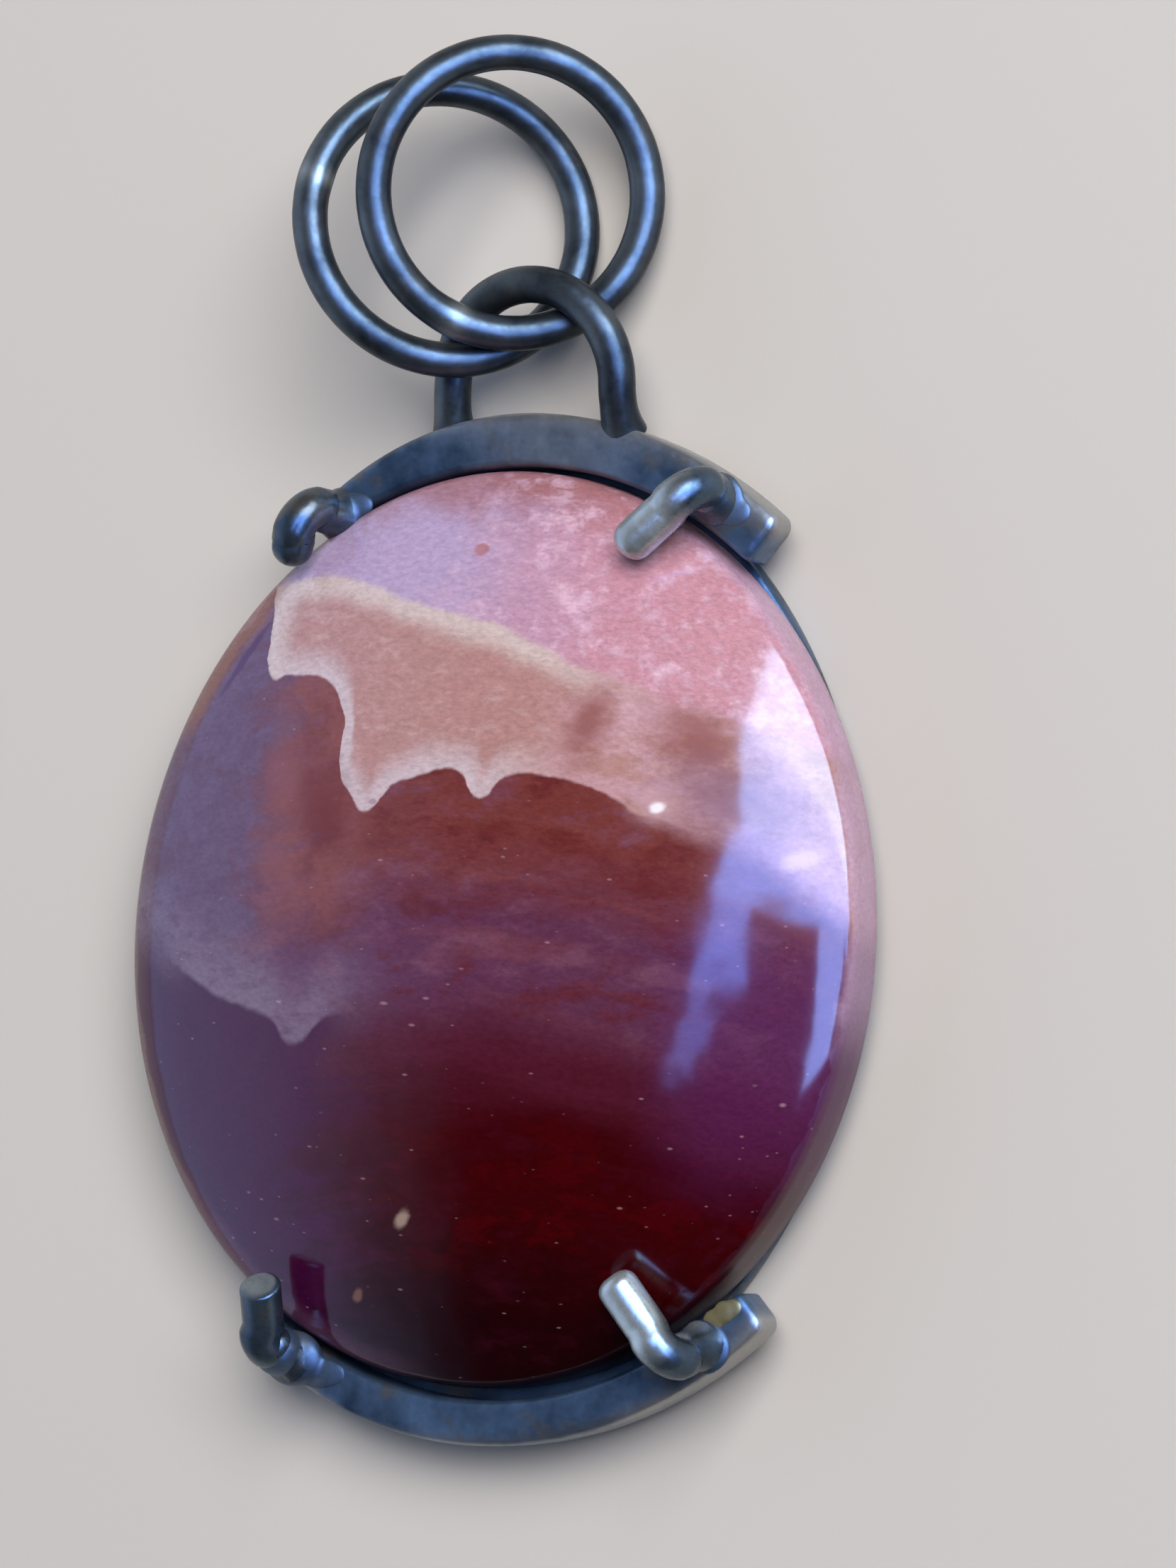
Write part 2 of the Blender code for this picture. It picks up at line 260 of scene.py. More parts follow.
mookaite, stone_shader = new_material("polished_mookaite_jasper", {
    "Roughness": DOME_ROUGHNESS, "IOR": JASPER_IOR})
stone_place = add_node(mookaite, "TexCoord", {}).outputs["Object"]
stone_mm = add_node(mookaite, "Mapping", {
    "Vector": stone_place, "Scale": (1000.0, 1000.0, 1000.0),
    "Location": (-STONE_CENTRE[0], -STONE_CENTRE[1] - SHIFT_Y, 0.0)}, vector_type="POINT")

# Fronts waver by a quarter of a millimetre over lengths near 1.5 mm
waver = add_node(mookaite, "TexNoise", {"Vector": stone_mm, "Scale": 0.7, "Detail": 5.0})
waver = add_node(mookaite, "VectorMath", {
    0: waver.outputs["Color"], 1: (0.5, 0.5, 0.5)}, operation="SUBTRACT")
waver = add_node(mookaite, "VectorMath", {0: waver, "Scale": 0.6}, operation="SCALE")
wavering = add_node(mookaite, "VectorMath", {0: stone_mm, 1: waver}, operation="ADD")
wavering_axes = add_node(mookaite, "SeparateXYZ", {0: wavering})
stone_x, stone_y = wavering_axes.outputs[0], wavering_axes.outputs[1]

FRONT_SPAN = 32.0


def add_front(material, x, y, points, low, high, rim=0.0):
    """0 before a front y = f(x), 1 past it, with a blur from low to high mm past it.

    With a rim, the front is also read that far to each side, so that the rim keeps its
    width where the front is steep."""
    level = None
    for step in ((-rim, 0.0, rim) if rim else (0.0,)):
        share = add_node(material, "Math", {
            0: x, 1: 1.0 / FRONT_SPAN, 2: 0.5 + step / FRONT_SPAN}, operation="MULTIPLY_ADD")
        front = add_node(material, "FloatCurve", {"Value": share})
        curve = front.mapping.curves[0]
        while len(curve.points) < len(points):
            curve.points.new(0.5, 0.5)
        for point, (front_x, front_y) in zip(curve.points, points):
            point.location = (front_x / FRONT_SPAN + 0.5, front_y / FRONT_SPAN + 0.5)
        front.mapping.update()
        height = add_node(material, "Math", {
            0: front, 1: FRONT_SPAN, 2: -FRONT_SPAN / 2.0}, operation="MULTIPLY_ADD")
        level = height if level is None else add_node(
            material, "Math", {0: level, 1: height}, operation="MAXIMUM")
    past = add_node(material, "Math", {0: y, 1: level}, operation="SUBTRACT")
    return add_node(material, "MapRange", {
        "Value": past, "From Min": low, "From Max": high}, interpolation_type="SMOOTHSTEP")


def add_ramp(material, value, start, end, most=1.0):
    """0 at start and most at end, eased at both."""
    return add_node(material, "MapRange", {
        "Value": value, "From Min": start, "From Max": end, "To Max": most},
        interpolation_type="SMOOTHSTEP")


def both(material, first, second):
    """One share of another."""
    return add_node(material, "Math", {0: first, 1: second}, operation="MULTIPLY")


def lay_over(material, share, under, over):
    """One colour laid over another by a share."""
    return add_node(material, "MixRGB", {"Fac": share, "Color1": under, "Color2": over})


CREAM_FRONT = [(-15.0, 9.0), (-9.6, 9.4), (-8.9, 10.7), (-8.2, 11.0), (-6.5, 11.2),
               (-4.6, 11.0), (-2.9, 10.5), (-0.6, 10.0), (1.3, 9.6), (2.5, 9.1),
               (3.9, 8.5), (5.3, 8.2), (6.7, 7.7), (8.1, 7.4), (11.0, 6.5), (15.0, 5.5)]
SCALLOP_FRONT = [(-15.0, 16.0), (-9.3, 12.0), (-8.5, 9.8), (-8.2, 8.2), (-7.7, 7.6),
                 (-7.2, 7.8), (-6.0, 7.8), (-5.2, 7.4), (-4.6, 6.5), (-4.4, 5.5),
                 (-4.3, 4.7), (-3.8, 3.9), (-3.1, 3.4), (-2.4, 4.1), (-1.6, 4.6),
                 (-0.2, 5.0), (0.4, 4.8), (0.8, 4.2), (1.4, 4.3), (1.6, 4.7),
                 (2.2, 5.0), (3.3, 4.9), (4.5, 4.7), (5.7, 4.3), (6.3, 3.9),
                 (7.5, 3.7), (9.4, 3.2), (12.0, 1.6), (13.3, 0.4), (15.0, -1.0)]
MAROON_FRONT = [(-15.0, -1.0), (-12.0, -1.4), (-10.6, -2.2), (-9.3, -2.8), (-7.6, -3.3),
                (-6.4, -3.6), (-5.6, -4.3), (-5.0, -4.3), (-4.2, -3.6), (-2.8, -3.2),
                (0.3, -2.9), (2.3, -2.8), (4.7, -3.1), (7.1, -3.5), (9.3, -3.9),
                (11.0, -4.3), (15.0, -5.0)]

past_cream = add_front(mookaite, stone_x, stone_y, CREAM_FRONT, -0.12, 0.22)
past_scallop = add_front(mookaite, stone_x, stone_y, SCALLOP_FRONT, -0.05, 0.09)
past_faded_scallop = add_front(mookaite, stone_x, stone_y, SCALLOP_FRONT, -0.7, 0.9)
past_rim = add_front(mookaite, stone_x, stone_y, SCALLOP_FRONT, -0.05, 1.3, rim=0.3)
past_finger = add_front(mookaite, stone_x, stone_y, MAROON_FRONT, -0.12, 0.16)
past_maroon = add_front(mookaite, stone_x, stone_y, MAROON_FRONT, -1.3, 1.3)
above_finger = add_front(mookaite, stone_x, stone_y, MAROON_FRONT, 3.2, 0.0)
below_cream = add_front(mookaite, stone_x, stone_y, CREAM_FRONT, -1.1, -0.25)

# Clouds 3 mm across, patches 1 mm and mottling 0.5 mm across, both drawn out along the
# bedding, and flow bands that arch over the dark end
bedding = add_node(mookaite, "Mapping", {
    "Vector": stone_mm, "Rotation": (0.0, 0.0, BEDDING_TURN),
    "Scale": (0.5, 1.0, 1.0)}, vector_type="POINT")
clouds = add_node(mookaite, "TexNoise", {
    "Vector": stone_mm, "Scale": 0.33, "Detail": 4.0, "Roughness": 0.55, "Distortion": 0.5})
mottle = add_node(mookaite, "TexNoise", {
    "Vector": bedding, "Scale": 2.2, "Detail": 3.0, "Roughness": 0.6})
grain = add_node(mookaite, "TexNoise", {
    "Vector": bedding, "Scale": 7.0, "Detail": 3.0, "Roughness": 0.7})
patches = add_node(mookaite, "TexNoise", {
    "Vector": bedding, "Scale": 0.8, "Detail": 6.0, "Roughness": 0.62, "Distortion": 0.25})
patchy_x = add_node(mookaite, "Math", {0: patches, 1: 8.0, 2: stone_x},
                    operation="MULTIPLY_ADD")
arch = add_node(mookaite, "Math", {0: stone_x, 1: 2.0}, operation="SUBTRACT")
arch = both(mookaite, arch, arch)
arch = add_node(mookaite, "Math", {0: arch, 1: 0.02, 2: stone_y}, operation="MULTIPLY_ADD")
flow_place = add_node(mookaite, "CombineXYZ", {0: both(mookaite, stone_x, 0.1), 1: arch})
flow = add_node(mookaite, "TexNoise", {
    "Vector": flow_place, "Scale": 0.8, "Detail": 5.0, "Roughness": 0.6, "Distortion": 0.3})

# Maroon ground: wine at its upper edge, almost black with blood-red patches lower down, and
# plum at the left
depth = add_node(mookaite, "Math", {0: flow, 1: 5.0, 2: arch}, operation="MULTIPLY_ADD")
depth = add_ramp(mookaite, depth, -0.5, -5.0)
ground = lay_over(mookaite, depth, to_linear("#521a2b"), to_linear("#3a0002"))
depth = add_node(mookaite, "Math", {0: clouds, 1: 4.0, 2: arch}, operation="MULTIPLY_ADD")
depth = add_ramp(mookaite, depth, -6.0, -11.5)
ground = lay_over(mookaite, depth, ground, to_linear("#1f0001"))
haze = add_ramp(mookaite, patches, 0.5, 0.72, 0.4)
ground = lay_over(mookaite, haze, ground, to_linear("#430d1e"))
ember = both(mookaite, add_ramp(mookaite, patches, 0.5, 0.4, 0.7),
             add_ramp(mookaite, stone_y, -5.0, -8.0))
ember = both(mookaite, ember, add_ramp(mookaite, stone_y, -12.5, -9.5))
ground = lay_over(mookaite, ember, ground, to_linear("#470003"))
plum = add_node(mookaite, "Math", {0: flow, 1: 7.0, 2: patchy_x}, operation="MULTIPLY_ADD")
plum = add_ramp(mookaite, plum, 6.0, 1.0)
ground = lay_over(mookaite, plum, ground, to_linear("#430f36"))

# Red-brown middle: mauve low down, lilac at the left, and an orange-brown swirl under the
# scallops
low_middle = add_node(mookaite, "Math", {0: flow, 1: 5.0, 2: arch}, operation="MULTIPLY_ADD")
low_middle = add_ramp(mookaite, low_middle, 6.0, 1.5)
mauve = lay_over(mookaite, add_ramp(mookaite, patchy_x, 7.0, 0.0), to_linear("#5c3049"),
                 to_linear("#5d3350"))
middle = lay_over(mookaite, low_middle, to_linear("#70342f"), mauve)
streaks = add_ramp(mookaite, flow, 0.48, 0.68, 0.35)
middle = lay_over(mookaite, streaks, middle, to_linear("#80494c"))
middle = lay_over(mookaite, add_ramp(mookaite, patches, 0.5, 0.68, 0.6), middle,
                  to_linear("#774a5e"))
middle = lay_over(mookaite, add_ramp(mookaite, patches, 0.48, 0.34, 0.65), middle,
                  to_linear("#5f2122"))
swirl = both(mookaite, add_ramp(mookaite, stone_x, -8.6, -6.4),
             add_ramp(mookaite, stone_x, -2.0, -5.0))
swirl = both(mookaite, swirl, add_ramp(mookaite, stone_y, -1.5, 1.0))
swirl = both(mookaite, swirl, add_ramp(mookaite, clouds, 0.36, 0.56))
middle = lay_over(mookaite, swirl, middle, to_linear("#7e443f"))
lilac = lay_over(mookaite, add_ramp(mookaite, mottle, 0.3, 0.7), to_linear("#5e3f58"),
                 to_linear("#654962"))
lilac = lay_over(mookaite, add_ramp(mookaite, patches, 0.5, 0.66, 0.7), lilac,
                 to_linear("#5c3446"))
middle = lay_over(mookaite, add_ramp(mookaite, patchy_x, -1.4, -4.6), middle, lilac)

# The middle meets the ground along a crisp front with a grey-lilac finger at the left, and
# along a soft one elsewhere
finger = both(mookaite, add_ramp(mookaite, stone_x, -1.0, -5.5), above_finger)
finger = both(mookaite, finger, add_ramp(mookaite, mottle, 0.1, 0.6))
middle = lay_over(mookaite, finger, middle, to_linear("#796375"))
crisp = both(mookaite, add_ramp(mookaite, stone_x, -2.5, -4.5),
             add_ramp(mookaite, stone_x, -11.5, -9.5))
front = lay_over(mookaite, crisp, past_maroon, past_finger)
colour = lay_over(mookaite, front, ground, middle)

# Both the middle and the ground turn violet towards the right edge
violet = both(mookaite, add_ramp(mookaite, stone_x, 6.5, 10.0, 0.6),
              add_ramp(mookaite, stone_y, 1.5, -1.0))
violet = both(mookaite, violet, add_ramp(mookaite, stone_y, -9.5, -5.0))
colour = lay_over(mookaite, violet, colour, to_linear("#552052"))

# Tan field: a whitish rim on its scalloped side, a cream band along its upper side, and soft
# brown clouds at its right
tan = lay_over(mookaite, add_ramp(mookaite, mottle, 0.5, 0.72, 0.6), to_linear("#ad8079"),
               to_linear("#bd9892"))
pink = both(mookaite, add_ramp(mookaite, stone_x, 2.0, 5.5),
            add_ramp(mookaite, patches, 0.62, 0.42))
tan = lay_over(mookaite, pink, tan, to_linear("#c0969c"))
rim = add_node(mookaite, "Math", {0: 1.0, 1: past_rim}, operation="SUBTRACT")
rim = both(mookaite, rim, add_ramp(mookaite, stone_x, 4.5, 0.5, 0.85))
tan = lay_over(mookaite, rim, tan, to_linear("#c6b4b6"))
cream = both(mookaite, below_cream, add_ramp(mookaite, stone_x, 6.8, 1.5, 0.9))
tan = lay_over(mookaite, cream, tan, to_linear("#cab6ae"))
tan = lay_over(mookaite, add_ramp(mookaite, stone_x, -7.0, -8.0, 0.8), tan,
               to_linear("#c8b3ac"))
faded = add_ramp(mookaite, stone_x, 4.5, 9.0)
front = lay_over(mookaite, faded, past_scallop, past_faded_scallop)
colour = lay_over(mookaite, front, colour, tan)

# Top: lilac at the left, salmon pink curdled with paler pink at the right, redder close to
# the bail, and finely mottled
salmon = add_node(mookaite, "Math", {0: clouds, 1: 6.0, 2: stone_x}, operation="MULTIPLY_ADD")
top = lay_over(mookaite, add_ramp(mookaite, salmon, 0.5, 8.5), to_linear("#af97b3"),
               to_linear("#c08a95"))
redder = add_node(mookaite, "Math", {0: clouds, 1: 3.0, 2: stone_y}, operation="MULTIPLY_ADD")
top = lay_over(mookaite, add_ramp(mookaite, redder, 14.2, 16.4, 0.8), top,
               to_linear("#98605c"))
pale = both(mookaite, add_ramp(mookaite, mottle, 0.5, 0.72, 0.6),
            add_ramp(mookaite, stone_x, -4.0, 1.0))
top = lay_over(mookaite, pale, top, to_linear("#cfabba"))
curds = add_node(mookaite, "TexNoise", {
    "Vector": stone_mm, "Scale": 1.0, "Detail": 3.0, "Roughness": 0.7})
curds = both(mookaite, add_ramp(mookaite, curds, 0.5, 0.68, 0.7),
             add_ramp(mookaite, stone_x, -3.0, 2.5))
top = lay_over(mookaite, curds, top, to_linear("#d8b2c1"))
colour = lay_over(mookaite, past_cream, colour, top)

# Shoulder: the colours are thinner where the dome meets the wall, lilac at the right and brown
# at the left. The mauve round the dark end is a painted reflection of the room on the shoulder
edge = add_node(mookaite, "VectorMath", {
    0: wavering, 1: (1.0 / STONE_HALF_WIDTH, 1.0 / STONE_HALF_LENGTH, 0.0)},
    operation="MULTIPLY")
edge = add_node(mookaite, "VectorMath", {0: edge}, operation="LENGTH").outputs["Value"]
right_wall = both(mookaite, add_ramp(mookaite, edge, 0.968, 0.99),
                  add_ramp(mookaite, stone_y, -4.0, -1.0, 0.6))
right_wall = both(mookaite, right_wall, add_ramp(mookaite, stone_x, 4.0, 8.0))
colour = lay_over(mookaite, right_wall, colour, to_linear("#c09fba"))
left_wall = both(mookaite, add_ramp(mookaite, edge, 0.965, 0.985),
                 add_ramp(mookaite, stone_x, -4.0, -7.0, 0.85))
left_wall = both(mookaite, left_wall, add_ramp(mookaite, stone_y, -12.0, -9.0))
colour = lay_over(mookaite, left_wall, colour, to_linear("#76524c"))
brown_shoulder = both(mookaite, add_ramp(mookaite, edge, 0.9, 0.94),
                      add_ramp(mookaite, stone_y, 5.2, 6.5))
brown_shoulder = both(mookaite, brown_shoulder, add_ramp(mookaite, stone_x, -8.0, -9.2, 0.85))
colour = lay_over(mookaite, brown_shoulder, colour, to_linear("#86584d"))
# Painted reflection: a mauve band on the shoulder round the dark end, where the dome reflects the
# room
painted_reflection_shoulder = both(mookaite, add_ramp(mookaite, edge, 0.93, 0.97, 0.6),
                      add_ramp(mookaite, stone_y, -8.0, -11.0))
painted_reflection_shoulder = both(mookaite, painted_reflection_shoulder, add_ramp(mookaite, stone_x, 0.0, -4.5))
colour = lay_over(mookaite, painted_reflection_shoulder, colour, to_linear("#63374a"))

# Grain: the whole stone is finely mottled, a little lighter and darker
shade = add_node(mookaite, "MapRange", {
    "Value": grain, "From Min": 0.3, "From Max": 0.7, "To Min": 0.83, "To Max": 1.16})
colour = add_node(mookaite, "VectorMath", {0: colour, "Scale": shade}, operation="SCALE")

# Pale flecks 0.1 to 0.3 mm long, drawn out along the bedding, a few large and many small.
# Each kind has its cells per mm, the share of them left bare, and its flecks' most size and
# strength
FLECKS = [(1.5, 0.5, 0.17, 0.5), (3.4, 0.3, 0.22, 0.34)]
streaked = add_node(mookaite, "Mapping", {
    "Vector": stone_mm, "Rotation": (0.0, 0.0, BEDDING_TURN),
    "Scale": (0.4, 1.0, 1.0)}, vector_type="POINT")
for cells, bare, size, share in FLECKS:
    flecks = add_node(mookaite, "TexVoronoi", {"Vector": streaked, "Scale": cells})
    reach = add_node(mookaite, "MapRange", {
        "Value": flecks.outputs["Color"], "From Min": bare, "From Max": 1.0, "To Max": size})
    fleck = add_node(mookaite, "Math", {0: reach, 1: flecks.outputs["Distance"]},
                     operation="SUBTRACT")
    fleck = add_ramp(mookaite, fleck, 0.0, 0.12, share)
    colour = lay_over(mookaite, fleck, colour, to_linear("#c29aa2"))

# Single spots: place in mm, half sizes, turn in degrees, colour, share and softness
SPOTS = [((-1.0, -9.8), (0.2, 0.36), -35.0, "#b59a86", 0.7, 0.5),
         ((-2.9, -12.5), (0.14, 0.24), -30.0, "#8a6450", 0.6, 0.5),
         ((-0.6, 12.4), (0.26, 0.2), 0.0, "#a3605c", 0.7, 0.3),
         ((4.4, 6.7), (0.6, 1.1), -15.0, "#8c5450", 0.85, 0.9),
         ((7.9, 6.5), (1.4, 0.9), -20.0, "#8c5450", 0.85, 0.9),
         ((9.2, 4.6), (2.0, 1.0), -15.0, "#805a6b", 0.8, 0.9),
         ((7.0, 4.2), (0.6, 0.45), 0.0, "#c9a5ac", 0.5, 0.9),
         ((7.0, 4.2), (0.24, 0.18), 20.0, "#f0eaf0", 0.95, 0.5),
         ((-2.9, 3.75), (0.16, 0.1), 0.0, "#8a6a72", 0.6, 0.3),
         ((11.5, 2.9), (0.55, 0.28), 25.0, "#e6c3cc", 0.6, 0.6),
         ((-9.4, 8.3), (0.16, 1.4), -33.0, "#4c1f4c", 0.9, 0.4),
         ((-4.9, 3.4), (0.9, 1.5), 15.0, "#6a2622", 0.7, 0.9),
         ((-6.6, 4.4), (0.6, 1.6), 12.0, "#854a49", 0.5, 0.9),
         ((-6.2, 1.2), (1.2, 0.5), -35.0, "#854a49", 0.5, 0.9)]
for (spot_x, spot_y), half_sizes, turn, spot_colour, share, softness in SPOTS:
    spot = add_node(mookaite, "Mapping", {
        "Vector": stone_mm, "Location": (spot_x, spot_y, 0.0),
        "Rotation": (0.0, 0.0, math.radians(turn)),
        "Scale": (half_sizes[0], half_sizes[1], 1000.0)}, vector_type="TEXTURE")
    spot = add_node(mookaite, "VectorMath", {0: spot}, operation="LENGTH").outputs["Value"]
    spot = add_node(mookaite, "Math", {0: mottle, 1: 1.2, 2: spot}, operation="MULTIPLY_ADD")
    spot = add_ramp(mookaite, spot, 1.6 + softness, 1.6 - softness, share)
    colour = lay_over(mookaite, spot, colour, to_linear(spot_colour))
mookaite.node_tree.links.new(colour.outputs[0], stone_shader.inputs["Base Color"])

# The wall was only tumbled, not lapped, so it is less glossy than the dome
gloss = add_ramp(mookaite, edge, 0.985, 0.992, WALL_ROUGHNESS_GAIN)
gloss = add_node(mookaite, "Math", {0: gloss, 1: DOME_ROUGHNESS}, operation="ADD")
mookaite.node_tree.links.new(gloss.outputs[0], stone_shader.inputs["Roughness"])

# The lap left the polish very slightly uneven
swell = add_node(mookaite, "TexNoise", {"Vector": stone_mm, "Scale": 0.25, "Detail": 2.0})
swell = add_node(mookaite, "Bump", {"Height": swell, "Strength": 0.25, "Distance": 0.0003})
mookaite.node_tree.links.new(swell.outputs[0], stone_shader.inputs["Normal"])

stone.data.materials.append(mookaite)
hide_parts("stone")
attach(stone, "pendant")

# Back ring: a flattened silver wire bent to an oval and soldered shut, which lies on the
# table. The bars are soldered on top of it, and the stone sits on it.
BACK_RING_CENTRE = (0.2, -0.4)
BACK_RING_HALF_WIDTH = 12.35
BACK_RING_HALF_LENGTH = 16.35
BACK_RING_POWER = 1.93
BACK_RING_WIRE = 1.8
BACK_RING_HEIGHT = 1.0
FLATTENING = 0.45

bpy.ops.object.select_all(action="DESELECT")
bpy.ops.mesh.primitive_torus_add(major_segments=220, minor_segments=28,
                                 major_radius=0.01, minor_radius=0.001)
back_ring = bpy.context.object
back_ring.name = "back_ring_wire"
for vertex in back_ring.data.vertices:
    turn = math.atan2(vertex.co.y, vertex.co.x)
    out = (vertex.co.xy.length - 0.01) / 0.001
    rise = vertex.co.z / 0.001
    out = math.copysign(abs(out) ** FLATTENING, out)
    rise = math.copysign(abs(rise) ** FLATTENING, rise)
    inset = BACK_RING_WIRE / 2.0 * (1.0 - out)
    across = math.copysign(abs(math.cos(turn)) ** (2.0 / BACK_RING_POWER), math.cos(turn))
    along = math.copysign(abs(math.sin(turn)) ** (2.0 / BACK_RING_POWER), math.sin(turn))
    vertex.co = to_row((BACK_RING_CENTRE[0] + (BACK_RING_HALF_WIDTH - inset) * across,
                        BACK_RING_CENTRE[1] + (BACK_RING_HALF_LENGTH - inset) * along,
                        BACK_RING_HEIGHT / 2.0 * (1.0 + rise)))
smooth(back_ring, 60.0)

# Oxidised sterling silver: liver of sulphur turned it blue-black, and handling has rubbed
# the high places grey and left brown and bronze clouds. It is satin, very finely scratched.
# The same pale grey also carries painted highlights, set on each piece with its wear.
SILVER_CLOUDS = ("#2c3e50", "#5f7790", "#6d6558")
SILVER_WORN_AND_HIGHLIT = "#a3a19a"


def add_silver(name, metallic, roughness, colours, worn):
    """Blackened silver from its dark, grey and bronze colours, paler for wear and painted
    highlight.

    Its clouds and stains are 2 mm across, its dents 1 mm and its scratches 0.2 mm."""
    material, shader = new_material(name, {"Metallic": metallic, "Roughness": roughness})
    place = add_node(material, "TexCoord", {}).outputs["Object"]
    place = add_node(material, "Mapping", {"Vector": place, "Scale": (1000.0, 1000.0, 1000.0)})
    patches = add_node(material, "TexNoise", {
        "Vector": place, "Scale": 0.45, "Detail": 5.0, "Roughness": 0.55})
    grey = add_node(material, "MapRange", {
        "Value": patches, "From Min": 0.32, "From Max": 0.66})
    colour = lay_over(material, grey, to_linear(colours[0]), to_linear(colours[1]))
    stains = add_node(material, "TexNoise", {
        "Vector": place, "Scale": 0.5, "Detail": 5.0, "Roughness": 0.6, "Distortion": 0.4})
    bronze = add_ramp(material, stains, 0.54, 0.68, 0.7)
    colour = lay_over(material, bronze, colour, to_linear(colours[2]))
    # The worn colour is laid on for real wear and for painted highlights alike
    wear_and_highlight = add_node(material, "Attribute", {}, attribute_name="wear_and_highlight").outputs["Fac"]
    patchy_wear_and_highlight = add_node(material, "Math", {0: patches, 1: wear_and_highlight}, operation="MULTIPLY")
    patchy_wear_and_highlight = add_node(material, "MapRange", {
        "Value": patchy_wear_and_highlight, "From Min": 0.08, "From Max": 0.45})
    colour = lay_over(material, patchy_wear_and_highlight, colour, to_linear(worn))
    material.node_tree.links.new(colour.outputs[0], shader.inputs["Base Color"])
    scratches = add_node(material, "TexNoise", {
        "Vector": place, "Scale": 5.0, "Detail": 6.0, "Roughness": 0.7})
    gloss = add_node(material, "MapRange", {
        "Value": scratches, "From Min": 0.3, "From Max": 0.7,
        "To Min": roughness - 0.06, "To Max": roughness + 0.1})
    material.node_tree.links.new(gloss.outputs[0], shader.inputs["Roughness"])
    dents = add_node(material, "TexNoise", {"Vector": place, "Scale": 1.2, "Detail": 2.0})
    relief = add_node(material, "Math", {0: scratches, 1: 0.04, 2: dents},
                      operation="MULTIPLY_ADD")
    relief = add_node(material, "Bump", {
        "Height": relief, "Strength": 0.3, "Distance": 0.0001})
    material.node_tree.links.new(relief.outputs[0], shader.inputs["Normal"])
    return material


blackened = add_silver("oxidised_sterling_silver", 0.7, 0.34, SILVER_CLOUDS, SILVER_WORN_AND_HIGHLIT)
back_ring.data.materials.append(blackened)
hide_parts("back_ring")
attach(back_ring, "pendant")

# Bars: two crescents sawn from thick silver sheet and soldered to the back ring at the
# stone's two ends. Each runs thinner towards its left end. The edges are filed round, most
# of all the outer ones, which are rubbed grey; their paleness is partly that wear and partly
# a painted highlight, and the pale right ends are a painted highlight. Each has its inner
# edge's half width and length, the angles of its right and left ends, and its width at each.
BAR_HEIGHT = 1.74
BAR_BASE_Z = 1.06
BAR_CENTRE_X = 0.2
BAR_INNER_ROUNDING = 0.22
BAR_OUTER_ROUNDING = 0.5
BAR_END_ROUNDING = 0.4
BAR_DROP = 0.34
BAR_MID_REACH = 0.5
BAR_LEAST_WEAR = 0.06
BAR_EDGE_WEAR_AND_HIGHLIGHT = 0.35
BAR_END_HIGHLIGHT = 1.1
BAR_END_HIGHLIGHT_LENGTH = 4.0
TOP_BAR_WEAR = 0.35
TOP_BAR_WEAR_ANGLE = 88.0
TOP_BAR_WEAR_SPREAD = 14.0
BAR_CELLS = (120, 16)
BAR_ROUND_CELLS = 6
BARS = {
    "top_bar": ((13.5, 15.22), (54.0, 124.0), 1.8, 1.0),
    "bottom_bar": ((14.0, 15.75), (-45.5, -122.0), 1.5, 1.2),
}


def set_wear_and_highlight(piece, worn):
    """Stores each place's wear and painted highlight on a piece, from 0 to 1."""
    wear_and_highlight = piece.data.attributes.new("wear_and_highlight", "FLOAT", "POINT")
    for vertex in piece.data.vertices:
        wear_and_highlight.data[vertex.index].value = max(0.0, min(1.0, worn(vertex)))


def cell_place(share, cells, low_rounding, high_rounding, length):
    """Where a grid line lies along a length, the outer lines spaced for round edges, and how
    far round an edge it is, from 0 on the flat to 1 at the outermost line."""
    line = round((share + 0.5) * cells)
    round_cells = BAR_ROUND_CELLS
    if line < round_cells:
        round_share = math.cos(math.pi / 2.0 * line / round_cells)
        return low_rounding * (1.0 - round_share), round_share
    if line > cells - round_cells:
        round_share = math.cos(math.pi / 2.0 * (cells - line) / round_cells)
        return length - high_rounding * (1.0 - round_share), round_share
    flat = (line - round_cells) / (cells - 2.0 * round_cells)
    return low_rounding + (length - low_rounding - high_rounding) * flat, 0.0


